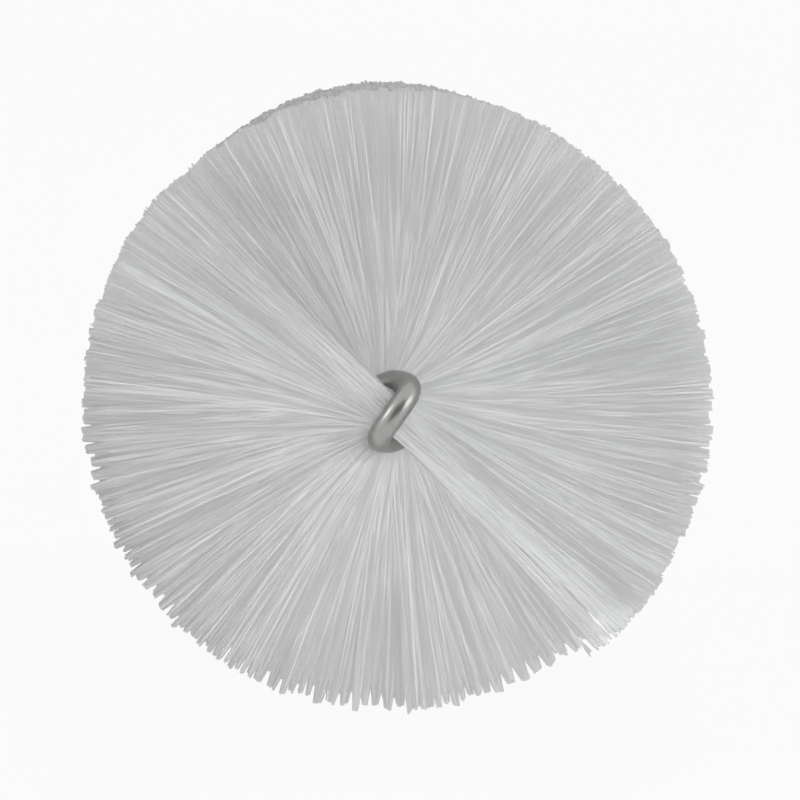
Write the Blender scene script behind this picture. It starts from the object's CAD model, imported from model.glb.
# A bottle brush: a folded and twisted steel wire, white filaments held between its legs, and a moulded handle.
# All sizes are in metres. The brush's own frame has its axis along Y and the wire's fold at the origin.
import math

import bpy
import numpy as np
from mathutils import Matrix, Vector


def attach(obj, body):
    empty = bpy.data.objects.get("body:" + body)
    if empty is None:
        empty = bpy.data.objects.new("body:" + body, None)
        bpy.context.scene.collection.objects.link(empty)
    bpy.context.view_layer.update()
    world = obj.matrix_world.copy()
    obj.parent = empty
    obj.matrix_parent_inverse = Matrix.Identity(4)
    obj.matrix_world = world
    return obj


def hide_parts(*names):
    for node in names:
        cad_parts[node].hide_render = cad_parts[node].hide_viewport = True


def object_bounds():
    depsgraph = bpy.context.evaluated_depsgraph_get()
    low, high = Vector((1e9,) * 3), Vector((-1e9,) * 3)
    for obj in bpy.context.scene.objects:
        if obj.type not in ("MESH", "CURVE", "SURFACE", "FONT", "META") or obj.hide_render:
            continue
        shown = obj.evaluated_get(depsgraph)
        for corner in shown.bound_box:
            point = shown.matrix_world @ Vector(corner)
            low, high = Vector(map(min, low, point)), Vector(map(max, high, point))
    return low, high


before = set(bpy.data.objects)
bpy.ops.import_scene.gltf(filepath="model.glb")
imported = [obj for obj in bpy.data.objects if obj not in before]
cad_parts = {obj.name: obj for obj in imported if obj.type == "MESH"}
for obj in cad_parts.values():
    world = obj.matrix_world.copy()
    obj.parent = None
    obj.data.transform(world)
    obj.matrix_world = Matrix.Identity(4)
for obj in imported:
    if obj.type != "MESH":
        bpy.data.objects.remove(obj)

cad_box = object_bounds()

# The core wire: one length of drawn stainless steel, folded in the middle on a hook and twisted left-handed.
# Its legs press the filaments between them in the head, and touch each other in the bare stem. Behind the open
# eye they close over eye_taper, and take up the twist over twist_ease.
wire_radius = 0.0011
twist_pitch = 0.0145
twist_ease = 0.0052
eye_angle = math.radians(54.5)
eye_radius = 0.00285
eye_depth = 0.0021
eye_taper = 0.0060
nip_radius = 0.0021
bend_end = wire_radius + eye_depth
head_start = 0.0025
head_length = 0.1200
head_end = head_start + head_length
stem_length = 0.1450
stem_taper = 0.0120
stem_spread_share = 1.01
stem_leg_radius = wire_radius * stem_spread_share
insert_depth = 0.0420
wire_end = head_end + stem_length + insert_depth
points_per_twist = 40
bend_points = 24
bevel_steps = 6
merge_distance = 0.000001

# Its two legs mirror each other across the brush's axis, so the middle of all their points lies on the axis,
# and the points spread furthest along it.
cad_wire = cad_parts["core_wire"].data
wire_points = np.array([v.co for v in cad_wire.vertices])
wire_middle = wire_points.mean(axis=0)
axis = np.linalg.eigh(np.cov((wire_points - wire_middle).T))[1][:, 2]
axis = axis * math.copysign(1, axis[1])
fold_front = Vector(wire_middle + axis * ((wire_points - wire_middle) @ axis).min())
tilt = math.atan2(axis[2], axis[1])
brush_frame = Matrix.Translation(fold_front) @ Matrix.Rotation(tilt, 4, "X")


def smooth_step(share):
    """Eases from 0 to 1, and is level at both ends."""
    share = min(max(share, 0), 1)
    return share * share * (3 - 2 * share)


def wire_angle(place):
    """The first leg's angle round the axis. The hook that held the fold kept the first twist slack."""
    behind = max(place - wire_radius, 0)
    eased = min(behind, twist_ease)
    return eye_angle + math.tau * (behind - eased + eased**2 / (2 * twist_ease)) / twist_pitch


def leg_radius(place):
    """How far a leg's middle lies from the axis: wide in the eye, round the filaments, then closed."""
    in_head = eye_radius + (nip_radius - eye_radius) * smooth_step((place - bend_end) / eye_taper)
    return in_head + (stem_leg_radius - in_head) * smooth_step((place - head_end) / stem_taper)


def round_axis(radius, angle, place):
    """A point of the brush's own frame, at this place along it."""
    return Vector((radius * math.cos(angle), place, radius * math.sin(angle)))


leg = []
for step in range(1, bend_points + 1):
    bend = step / bend_points * math.tau / 4
    place = wire_radius + eye_depth * (1 - math.cos(bend))
    leg.append(round_axis(eye_radius * math.sin(bend), wire_angle(place), place))
leg_steps = math.ceil((wire_end - bend_end) / twist_pitch * points_per_twist)
for step in range(1, leg_steps + 1):
    place = bend_end + (wire_end - bend_end) * step / leg_steps
    leg.append(round_axis(leg_radius(place), wire_angle(place), place))
route = [*reversed(leg), Vector((0, wire_radius, 0)), *[Vector((-p.x, p.y, -p.z)) for p in leg]]

bpy.ops.object.select_all(action="DESELECT")
bpy.ops.curve.primitive_bezier_curve_add()
wire = bpy.context.object
wire.name = "wire"
wire.data.splines.clear()
line = wire.data.splines.new("POLY")
line.points.add(len(route) - 1)
line.points.foreach_set("co", [c for p in route for c in (*p, 1)])
wire.data.bevel_depth = wire_radius
wire.data.bevel_resolution = bevel_steps
wire.data.use_fill_caps = True
bpy.ops.object.convert(target="MESH")
wire = bpy.context.object
wire.matrix_world = Matrix.Identity(4)
bpy.ops.object.mode_set(mode="EDIT")
bpy.ops.mesh.select_all(action="SELECT")
bpy.ops.mesh.remove_doubles(threshold=merge_distance)
bpy.ops.mesh.normals_make_consistent(inside=False)
bpy.ops.object.mode_set(mode="OBJECT")
bpy.ops.object.shade_smooth()
wire.data.transform(brush_frame)


def hex_colour(code):
    """An sRGB hex colour as linear red, green, blue and alpha."""
    parts = [int(code[i : i + 2], 16) / 255 for i in (0, 2, 4)]
    return (*[c / 12.92 if c <= 0.04045 else ((c + 0.055) / 1.055) ** 2.4 for c in parts], 1)


def add_node(material, kind, links=None, **settings):
    """Adds a node, with its settings and the links into its sockets. A setting named _3 is input number 3."""
    node = material.node_tree.nodes.new(kind)
    for key, value in settings.items():
        if key[0] == "_":
            node.inputs[int(key[1:])].default_value = value
        else:
            setattr(node, key, value)
    for socket, source in (links or {}).items():
        material.node_tree.links.new(source, node.inputs[socket])
    return node


# Drawn stainless steel, a little dulled by handling: patches about 1.1 mm wide vary its grey and its gloss, so
# the eye sees soft, slightly uneven highlights, and no mirror.
patch_width = 0.001111
patch_detail = 3
gloss_range = (0.26, 0.36)
steel = bpy.data.materials.new("drawn_stainless_steel")
steel.use_nodes = True
shader = steel.node_tree.nodes["Principled BSDF"]
shader.inputs["Metallic"].default_value = 1
where = add_node(steel, "ShaderNodeTexCoord")
patches = add_node(
    steel, "ShaderNodeTexNoise", {"Vector": where.outputs["Object"]}, _2=1 / patch_width, _3=patch_detail
)
tone = add_node(steel, "ShaderNodeValToRGB", {"Fac": patches.outputs["Fac"]})
tone.color_ramp.elements[0].color = hex_colour("9C9D9A")
tone.color_ramp.elements[1].color = hex_colour("ADAEAB")
steel.node_tree.links.new(tone.outputs["Color"], shader.inputs["Base Color"])
dull = add_node(
    steel, "ShaderNodeMapRange", {"Value": patches.outputs["Fac"]}, _3=gloss_range[0], _4=gloss_range[1]
)
steel.node_tree.links.new(dull.outputs["Result"], shader.inputs["Roughness"])
wire.data.materials.clear()
wire.data.materials.append(steel)
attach(wire, "root")
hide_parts("core_wire")

# The filaments: straight lengths of translucent white polyester, laid between the legs, gripped by the twist
# and trimmed round, so every tuft ends in a flat cut. They stand out on both sides of the nip in one winding
# sheet, which parts into fans and the fans into tufts.
turn_count = 16
turn_length = head_length / turn_count
# The first turns, which the eye sees from close by, have more and finer filaments than the others.
fine_turns = 2
filament_radii = (0.00009, 0.00011)
filaments_per_turn = (6200, 3000)
# The nip: the filaments of the open eye lie slanted, and close to its middle. All keep some of their offset.
first_grip = 0.0012
low_grip = 0.0019
first_grip_depth = 0.0012
front_slant = math.radians(-13.5)
front_slant_length = 0.0070
kept_offset_share = 0.04
# Fans of uneven width, wider on the calm side at the lower right, and the tufts in them.
fan_widths = (math.radians(3.0), math.radians(10.0))
fan_overlap = 0.01
calm_angle = math.radians(335)
calm_gain = 2.5
calm_power = 4
tuft_widths = (math.radians(1.1), math.radians(3.0))
tuft_gather = 0.6
# The low side, which gravity and use have opened, is looser than the top.
loose_middle = 0.5
loose_swing = 1.2
loose_least = 0.25
# How far single filaments stray from their angle, in radians, the most at the very front.
stray = 0.0025
first_stray = 0.055
first_stray_length = 0.0028
# How far they lean along the axis, in the front and in the body, and how the head's two ends splay out.
body_start = (0.0120, 0.0280)
fan_leans = (0.0008, 0.0007)
filament_leans = (0.0007, 0.0019)
blade_lean = 0.0004
tuft_lean = 0.0002
end_splay = 0.0018
# The trim: a circle, a little high and to the right, and uneven from tuft to tuft and from end to end.
trim_radius = 0.02930
trim_offset = (0.0003, 0.00055)
tuft_trim = 0.000315
tooth_width = 0.0105
tooth_trim = 0.00022
end_trim = 0.00012
random_draws = np.random.default_rng(5)

# One filament is a three-sided rod in a few lengths, closed at both ends. It bends a little before its cut.
rod_levels = (0, 0.23, 0.46, 0.69, 0.92, 1)
bend_share = rod_levels[-2]
bpy.ops.object.select_all(action="DESELECT")
bpy.ops.mesh.primitive_circle_add(vertices=3, radius=1, fill_type="NGON")
rod = bpy.context.object
bpy.ops.object.mode_set(mode="EDIT")
bpy.ops.mesh.select_all(action="SELECT")
for low, high in zip(rod_levels, rod_levels[1:]):
    bpy.ops.mesh.extrude_region_move(TRANSFORM_OT_translate={"value": (0, 0, high - low)})
bpy.ops.mesh.select_all(action="SELECT")
bpy.ops.mesh.normals_make_consistent(inside=False)
bpy.ops.object.mode_set(mode="OBJECT")
rod_points = np.array([v.co for v in rod.data.vertices])
rod_faces = [list(p.vertices) for p in rod.data.polygons]
rod_corners = [v for face in rod_faces for v in face]
bpy.data.objects.remove(rod)


def spoke(angle):
    """Directions out from the axis at these angles, in the brush's own frame."""
    return np.stack([np.cos(angle), np.zeros_like(angle), np.sin(angle)], 1)


def slanted_angle(place):
    """The angle at which a filament leaves the nip. The first few lie slanted in the open eye."""
    slack = 1 - smooth_step((place - head_start) / front_slant_length)
    return wire_angle(place) + math.tau / 4 + front_slant * slack


def fan_edges(side):
    """Where one side's winding sheet parts into fans, as angles that run on from turn to turn."""
    edges = [slanted_angle(head_start) + side * math.tau / 2 - fan_overlap]
    last = slanted_angle(head_end) + side * math.tau / 2
    while edges[-1] < last:
        calm = max(0, math.cos(edges[-1] - calm_angle)) ** calm_power
        edges.append(edges[-1] + random_draws.uniform(*fan_widths) * (1 + calm_gain * calm))
    return np.array(edges)


sheets = [fan_edges(0), fan_edges(1)]

# Fans, tufts and teeth are numbered, and a number's own draw is the same for all the filaments that share it.
# Each draw's pair is a sine's step and gain, large enough for its results to look random.
side_numbers = 500
tuft_numbers = 40
fan_side_step = 0.5
tuft_side_step = 0.37
tuft_width_draw = (17.17, 5417.3)
fan_lean_draw = (39.425, 9631.1)
tuft_trim_draw = (12.9898, 43758.5453)
tuft_slope_draw = (78.233, 24634.6345)
tooth_draw = (31.7, 7127.1)


def own_draw(number, pair):
    """From 0 to 1, and always the same for the same number."""
    return np.abs(np.sin(number * pair[0]) * pair[1]) % 1


def filament_paths(number):
    """For one half turn, each filament's root, bend and tip, its place in the fans, and the way beside it."""
    count = filaments_per_turn[number >= fine_turns] // 2
    paths = []
    for side, edges in enumerate(sheets):
        # Where the wire grips it: along the wire, round it, and across the nip.
        place = head_start + turn_length * (number + (np.arange(count) + random_draws.random(count)) / count)
        turned = np.array([slanted_angle(p) for p in place]) + side * math.tau / 2
        leg_at = np.array([wire_angle(p) for p in place])
        room = np.array([leg_radius(p) for p in place]) - wire_radius
        in_fold = place < head_start + first_grip_depth
        high = np.where(in_fold, np.minimum(room, first_grip), room)
        low = np.where(in_fold & (side == 1), np.minimum(room, low_grip), high)
        across = random_draws.uniform(-low, high)

        # Its fan, and its tuft in the fan.
        fan = np.searchsorted(edges, turned) - 1
        fan_width = edges[fan + 1] - edges[fan]
        fan_share = (turned - edges[fan]) / fan_width
        fan_name = fan + side * fan_side_step
        coarse = own_draw(fan_name, tuft_width_draw)
        tuft_width = tuft_widths[0] + coarse * (tuft_widths[1] - tuft_widths[0])
        tufts = np.maximum(np.rint(fan_width / tuft_width), 1)
        tuft = np.floor(fan_share * tufts)
        tuft_share = fan_share * tufts - tuft - 0.5
        tuft_name = fan * tuft_numbers + tuft + side * tuft_side_step
        uneven = own_draw(tuft_name, tuft_trim_draw)
        slope = own_draw(tuft_name, tuft_slope_draw) - 0.5

        # The angle that it stands at, and its tip's, which gathers toward the tuft's middle.
        loose = np.clip(loose_middle - loose_swing * np.sin(turned), loose_least, 1)
        gather = tuft_gather * loose
        early = np.clip(1 - (place - head_start) / first_stray_length, 0, 1)
        aim = turned + random_draws.normal(0, 1, count) * (stray + first_stray * early**2)
        tip_angle = aim - tuft_share * fan_width / tufts * gather

        # How far its tip leans along the axis.
        in_body = np.interp(place, body_start, (0, 1))
        filament_lean = filament_leans[0] + (filament_leans[1] - filament_leans[0]) * in_body
        fan_lean = fan_leans[0] + (fan_leans[1] - fan_leans[0]) * in_body
        fan_way = own_draw(fan_name, fan_lean_draw) - 0.5
        own_lean = tuft_lean * (2 * uneven - 1) + filament_lean * random_draws.uniform(-1, 1, count)
        slack = np.minimum((place - wire_radius) / twist_ease, 1)
        lean = slack * (fan_lean * 2 * fan_way + blade_lean * (fan_share - 0.5) + own_lean)
        lean = lean + end_splay * (2 * (place - head_start) / head_length - 1)

        # How long the trim leaves it.
        length = trim_radius + trim_offset[0] * np.cos(turned) + trim_offset[1] * np.sin(turned)
        tooth = own_draw(np.floor(tip_angle / tooth_width), tooth_draw)
        own_trim = tooth_trim * tooth + end_trim * (1 + in_body) * random_draws.random(count)
        length = length - tuft_trim * (1 + loose) * (uneven + slope * tuft_share) - own_trim

        grip = spoke(leg_at)
        along_axis = np.array([0, 1, 0])
        root = grip * across[:, None] + along_axis * place[:, None]
        shift = grip * (across * kept_offset_share)[:, None] + along_axis * (place + lean)[:, None]
        tip = spoke(tip_angle) * length[:, None] + shift
        bend = root + (spoke(aim) * length[:, None] + shift - root) * bend_share
        paths.append((root, bend, tip, fan + fan_share + side * side_numbers, spoke(turned + math.tau / 4)))

    # Into the frame that all the pieces share. The table and the CAD's box hold back what leans too far.
    root, bend, tip, fan_place, beside = (np.concatenate(parts) for parts in zip(*paths))
    turn = np.array(brush_frame)
    root, bend, tip = (points @ turn[:3, :3].T + turn[:3, 3] for points in (root, bend, tip))
    for end in (bend, tip):
        end[:, 1] = np.maximum(end[:, 1], cad_box[0][1] + filament_radii[1])
        end[:, 2] = np.clip(end[:, 2], filament_radii[1], cad_box[1][2] - filament_radii[1])
    return root, bend, tip, fan_place, beside @ turn[:3, :3].T


# The filaments of the first turns show the eye one flat side, and shade mostly as the sheet that they form, so
# it has an even tone. The others are spun at random, and shade as round rods that lean outward. Each pair of
# shading shares has one for the cut end and one for the rest of the rod.
front_spin_share = 0.05
sheet_slope = 0.20
sheet_shares = (0.4, 1)
sheet_round_share = 0.05
sheet_along_shares = (0.25, 0)
rod_along_shares = (1.75, 0.35)


def add_filaments(number, finish):
    """All the filaments of one half turn, as one mesh of closed rods."""
    root, bend, tip, fan_place, beside = filament_paths(number)
    count = len(root)
    along = (tip - root) / np.linalg.norm(tip - root, axis=1)[:, None]
    spin = random_draws.uniform(0, math.tau, count)[:, None]
    if number < fine_turns:
        spin = math.pi + front_spin_share * (spin - math.pi)
    back = np.array(brush_frame)[:3, 1]
    first = np.cross(along, back)
    first /= np.linalg.norm(first, axis=1)[:, None]
    second = np.cross(along, first)
    first, second = first * np.cos(spin) + second * np.sin(spin), second * np.cos(spin) - first * np.sin(spin)

    level = rod_points[None, :, 2:]
    cut_end = level > (bend_share + 1) / 2
    steps = root[:, None] + (bend - root)[:, None] * np.minimum(level / bend_share, 1)
    steps = np.where(cut_end, tip[:, None], steps)
    side_way = rod_points[None, :, :1] * first[:, None] + rod_points[None, :, 1:2] * second[:, None]
    points = steps + filament_radii[number >= fine_turns] * side_way
    corners = (np.arange(count)[:, None] * len(rod_points) + np.array(rod_corners)).ravel()
    sizes = np.tile([len(face) for face in rod_faces], count)
    mesh = bpy.data.meshes.new(f"filaments_{number + 1:02d}")
    mesh.vertices.add(points.size // 3)
    mesh.vertices.foreach_set("co", points.ravel())
    mesh.loops.add(len(corners))
    mesh.loops.foreach_set("vertex_index", corners.astype(np.int32))
    mesh.polygons.add(len(sizes))
    mesh.polygons.foreach_set("loop_start", (np.cumsum(sizes) - sizes).astype(np.int32))
    mesh.update(calc_edges=True)

    # U is the filament's place in the fans, so its whole part numbers the fan. V runs from root to tip.
    fan_map = np.repeat(fan_place, len(rod_corners))
    along_map = np.tile(rod_points[rod_corners, 2], count)
    mesh.uv_layers.new(name="UVMap").data.foreach_set("uv", np.stack([fan_map, along_map], 1).ravel())
    mesh.materials.append(finish)
    mesh.shade_smooth()

    if number < fine_turns:
        sheet_way = (sheet_slope * beside - back)[:, None]
        normals = sheet_way * np.where(cut_end, *sheet_shares) + sheet_round_share * side_way
        normals = normals + along[:, None] * np.where(cut_end, *sheet_along_shares)
    else:
        normals = side_way + along[:, None] * np.where(cut_end, *rod_along_shares)
    normals /= np.linalg.norm(normals, axis=2)[:, :, None]
    mesh.normals_split_custom_set_from_vertices(normals.reshape(-1, 3))
    filaments = bpy.data.objects.new(mesh.name, mesh)
    bpy.context.scene.collection.objects.link(filaments)
    # Light passes through the real filaments, so the ones next to the eye cast no shadow.
    filaments.visible_shadow = number >= fine_turns
    return filaments


# Drawn polyester, which lets light through, so it looks milky. Each fan has its own shade of white, some have
# a bright first edge, and the foremost are a little darker from wear: the eye sees soft bands round the wire.
fan_tone_share = 0.25
edge_width_share = 0.12
edge_contrast = 3
worn_fans = 26
worn_tones = (0.05, 0.65)
through_share = 0.35
polyester = bpy.data.materials.new("translucent_polyester")
polyester.use_nodes = True
shader = polyester.node_tree.nodes["Principled BSDF"]
where = add_node(polyester, "ShaderNodeUVMap", uv_map="UVMap")
in_fans = add_node(polyester, "ShaderNodeSeparateXYZ", {0: where.outputs[0]})
fan_number = add_node(polyester, "ShaderNodeMath", {0: in_fans.outputs[0]}, operation="FLOOR")
across_fan = add_node(polyester, "ShaderNodeMath", {0: in_fans.outputs[0]}, operation="FRACT")
fan_tone = add_node(polyester, "ShaderNodeTexWhiteNoise", {"W": fan_number.outputs[0]}, noise_dimensions="1D")
edge = add_node(
    polyester, "ShaderNodeMapRange", {"Value": across_fan.outputs[0]}, _1=0, _2=edge_width_share, _3=1, _4=0
)
edge_tone = add_node(
    polyester, "ShaderNodeMath", {0: fan_tone.outputs[0]}, operation="POWER", _1=edge_contrast
)
bright = add_node(
    polyester, "ShaderNodeMath", {0: edge.outputs[0], 1: edge_tone.outputs[0]}, operation="MULTIPLY"
)
own_number = add_node(
    polyester, "ShaderNodeMath", {0: fan_number.outputs[0]}, operation="MODULO", _1=side_numbers
)
worn = add_node(
    polyester, "ShaderNodeMapRange", {"Value": own_number.outputs[0]},
    _1=0, _2=worn_fans, _3=worn_tones[0], _4=worn_tones[1],
)
unworn = add_node(
    polyester, "ShaderNodeMath", {0: fan_tone.outputs[0], 2: bright.outputs[0]},
    operation="MULTIPLY_ADD", _1=fan_tone_share,
)
shade = add_node(polyester, "ShaderNodeMath", {0: unworn.outputs[0], 1: worn.outputs[0]}, operation="ADD")
tone = add_node(polyester, "ShaderNodeValToRGB", {"Fac": shade.outputs[0]})
tone.color_ramp.elements[0].color = hex_colour("F6F7F7")
tone.color_ramp.elements[1].color = hex_colour("FCFCFB")
polyester.node_tree.links.new(tone.outputs["Color"], shader.inputs["Base Color"])
shader.inputs["Roughness"].default_value = 0.65
through = add_node(polyester, "ShaderNodeBsdfTranslucent", {"Color": tone.outputs["Color"]})
milky = add_node(
    polyester, "ShaderNodeMixShader", {1: shader.outputs[0], 2: through.outputs[0]}, _0=through_share
)
polyester.node_tree.links.new(milky.outputs[0], polyester.node_tree.nodes["Material Output"].inputs["Surface"])

for number in range(turn_count):
    filaments = add_filaments(number, polyester)
    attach(filaments, "root")
    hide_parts(f"bristle_turn_{number + 1:02d}")

# The handle: one moulding of white polypropylene on the ends of the wire, with a collar, a swollen grip and a
# flat tail with a hanging hole. Its shape is the CAD solid's own, and its two mould halves meet at mid height.
polypropylene = bpy.data.materials.new("moulded_polypropylene")
polypropylene.use_nodes = True
shader = polypropylene.node_tree.nodes["Principled BSDF"]
where = add_node(polypropylene, "ShaderNodeTexCoord")
# The brush lies tilted on the table: this turns Object coordinates into its own length, width and height.
own = add_node(polypropylene, "ShaderNodeMapping", {"Vector": where.outputs["Object"]}, vector_type="TEXTURE")
own.inputs["Location"].default_value = fold_front
own.inputs["Rotation"].default_value = (tilt, 0, 0)
# Clouds about 17 mm wide, where the melt flowed and cooled unevenly: the eye sees a barely mottled white.
cloud_width = 0.01667
cloud_detail = 2
clouds = add_node(
    polypropylene, "ShaderNodeTexNoise", {"Vector": own.outputs[0]}, _2=1 / cloud_width, _3=cloud_detail
)
tone = add_node(polypropylene, "ShaderNodeValToRGB", {"Fac": clouds.outputs["Fac"]})
tone.color_ramp.elements[0].position = 0.3
tone.color_ramp.elements[1].position = 0.7
tone.color_ramp.elements[0].color = hex_colour("E4E4E0")
tone.color_ramp.elements[1].color = hex_colour("EFEFEC")
# The line where the mould halves met: a hair of flash, seen as a thin, slightly darker line along both sides.
parting_line = 0.00014
height = add_node(polypropylene, "ShaderNodeSeparateXYZ", {0: own.outputs[0]})
distance = add_node(polypropylene, "ShaderNodeMath", {0: height.outputs[2]}, operation="ABSOLUTE")
seam = add_node(
    polypropylene, "ShaderNodeMapRange", {"Value": distance.outputs[0]}, _1=0, _2=parting_line, _3=1, _4=0
)
lined = add_node(
    polypropylene, "ShaderNodeMix", {0: seam.outputs["Result"], 6: tone.outputs["Color"]},
    data_type="RGBA", _7=hex_colour("CFCFCA"),
)
polypropylene.node_tree.links.new(lined.outputs[2], shader.inputs["Base Color"])
# Fine spark-eroded grain, about 0.4 mm: it breaks the gloss, so the handle looks satin and not wet.
grain_width = 0.0004
grain_detail = 2
grain_depth = 0.00002
satin_range = (0.34, 0.44)
grain = add_node(
    polypropylene, "ShaderNodeTexNoise", {"Vector": own.outputs[0]}, _2=1 / grain_width, _3=grain_detail
)
dull = add_node(
    polypropylene, "ShaderNodeMapRange", {"Value": grain.outputs["Fac"]}, _3=satin_range[0], _4=satin_range[1]
)
polypropylene.node_tree.links.new(dull.outputs["Result"], shader.inputs["Roughness"])
relief = add_node(
    polypropylene, "ShaderNodeMath", {0: seam.outputs["Result"], 1: grain.outputs["Fac"]}, operation="ADD"
)
bump = add_node(polypropylene, "ShaderNodeBump", {"Height": relief.outputs[0]})
bump.inputs["Distance"].default_value = grain_depth
polypropylene.node_tree.links.new(bump.outputs["Normal"], shader.inputs["Normal"])
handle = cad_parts["handle"]
handle.data.materials.clear()
handle.data.materials.append(polypropylene)

# The table: a plain white sheet that keeps the brush's shadow, and looks nearly as white as the background.
table_width = 6
table_glow_share = 0.93


def add_direct_view(material):
    """1 where the eye sees the surface, also in a reflection, and 0 where it lights the brush."""
    path = add_node(material, "ShaderNodeLightPath")
    seen = path.outputs["Is Camera Ray"]
    for other in ("Is Glossy Ray", "Is Transmission Ray"):
        either = add_node(material, "ShaderNodeMath", {0: seen, 1: path.outputs[other]}, operation="MAXIMUM")
        seen = either.outputs[0]
    return seen


bpy.ops.object.select_all(action="DESELECT")
bpy.ops.mesh.primitive_plane_add(size=table_width)
table = bpy.context.object
table.name = "table"
white = bpy.data.materials.new("white_table")
white.use_nodes = True
shader = white.node_tree.nodes["Principled BSDF"]
shader.inputs["Base Color"].default_value = hex_colour("FAFAFA")
shader.inputs["Roughness"].default_value = 0.9
glow = add_node(white, "ShaderNodeEmission", _1=1)
share = add_node(
    white, "ShaderNodeMath", {0: add_direct_view(white)}, operation="MULTIPLY", _1=table_glow_share
)
mixed = add_node(white, "ShaderNodeMixShader", {0: share.outputs[0], 1: shader.outputs[0], 2: glow.outputs[0]})
white.node_tree.links.new(mixed.outputs[0], white.node_tree.nodes["Material Output"].inputs["Surface"])
table.data.materials.append(white)

# The studio: a white background to look at, a dim room for its own light, and large soft lamps. The wire
# reflects the two softboxes only.
room_light = 0.14
world = bpy.data.worlds.new("studio")
bpy.context.scene.world = world
world.use_nodes = True
room = world.node_tree.nodes["Background"]
room.inputs["Color"].default_value = (1, 1, 1, 1)
room.inputs["Strength"].default_value = room_light
backdrop = add_node(world, "ShaderNodeBackground", _0=(1, 1, 1, 1), _1=1)
mixed = add_node(
    world, "ShaderNodeMixShader", {0: add_direct_view(world), 1: room.outputs[0], 2: backdrop.outputs[0]}
)
world.node_tree.links.new(mixed.outputs[0], world.node_tree.nodes["World Output"].inputs["Surface"])

brush_middle = (0, 0, 0)
for name, place, target, size, power, reflected in (
    ("left_softbox", (-0.80, -0.42, 0.52), fold_front, 0.30, 0.9, True),
    ("right_softbox", (0.70, -0.76, 0.09), fold_front, 0.70, 2.7, True),
    ("front_light", (0.14, -1.30, 0.36), fold_front, 0.5, 2.65, False),
    ("top_light", (0.1, -0.16, 1.2), brush_middle, 0.5, 2.0, False),
    ("left_light", (-1.2, 0.15, 0.45), brush_middle, 0.6, 1.8, False),
    ("right_light", (1.2, 0.05, 0.45), brush_middle, 0.6, 2.7, False),
    ("rear_light", (0.1, 1.4, 0.5), brush_middle, 0.6, 2, False),
):
    lamp = bpy.data.lights.new(name, "AREA")
    lamp.size = size
    lamp.energy = power
    box = bpy.data.objects.new(name, lamp)
    bpy.context.scene.collection.objects.link(box)
    box.location = place
    box.rotation_euler = (Vector(target) - Vector(place)).to_track_quat("-Z", "Y").to_euler()
    box.visible_glossy = reflected

# The camera looks at the fold, 5.35 degrees above the brush's own axis, which is tilted by 5.33. The head
# fills disc_share of its picture, and the fold stands at loop_pixel.
camera_distance = 0.350
camera_height = math.radians(10.68)
camera_side = math.radians(0.85)
disc_share = 0.8226
disc_width = 0.060
loop_pixel = (394.5, 416)
frame_pixels = 800
sensor_width = 36
lens = bpy.data.cameras.new("camera")
camera = bpy.data.objects.new("camera", lens)
bpy.context.scene.collection.objects.link(camera)
bpy.context.scene.camera = camera
toward = Matrix.Rotation(-camera_side, 3, "Z") @ Vector((0, -math.cos(camera_height), math.sin(camera_height)))
camera.location = fold_front + toward * camera_distance
camera.rotation_euler = (-toward).to_track_quat("-Z", "Y").to_euler()
lens.sensor_width = sensor_width
lens.lens = sensor_width * disc_share * camera_distance / disc_width
lens.clip_start = 0.01
lens.shift_x = 0.5 - loop_pixel[0] / frame_pixels
lens.shift_y = loop_pixel[1] / frame_pixels - 0.5

# A dark card round the lens, which only the wire reflects: it draws the dark strip along the eye. Its felt
# sheds a little light of its own, so that the strip is grey and not black.
card_width = 0.46
card_offset = (0.05, -0.04, 0)
card_glow = 0.16
bpy.ops.object.select_all(action="DESELECT")
bpy.ops.mesh.primitive_plane_add(size=card_width)
card = bpy.context.object
card.name = "black_card"
card.data.transform(Matrix.Translation(card_offset))
card.data.transform(Matrix.Translation(camera.location) @ camera.rotation_euler.to_matrix().to_4x4())
felt = bpy.data.materials.new("black_felt")
felt.use_nodes = True
shader = felt.node_tree.nodes["Principled BSDF"]
shader.inputs["Base Color"].default_value = hex_colour("2C2C2C")
shader.inputs["Emission Color"].default_value = (1, 1, 1, 1)
shader.inputs["Emission Strength"].default_value = card_glow
card.data.materials.append(felt)
card.visible_camera = card.visible_diffuse = card.visible_transmission = card.visible_shadow = False

bpy.context.scene.view_settings.view_transform = "Standard"
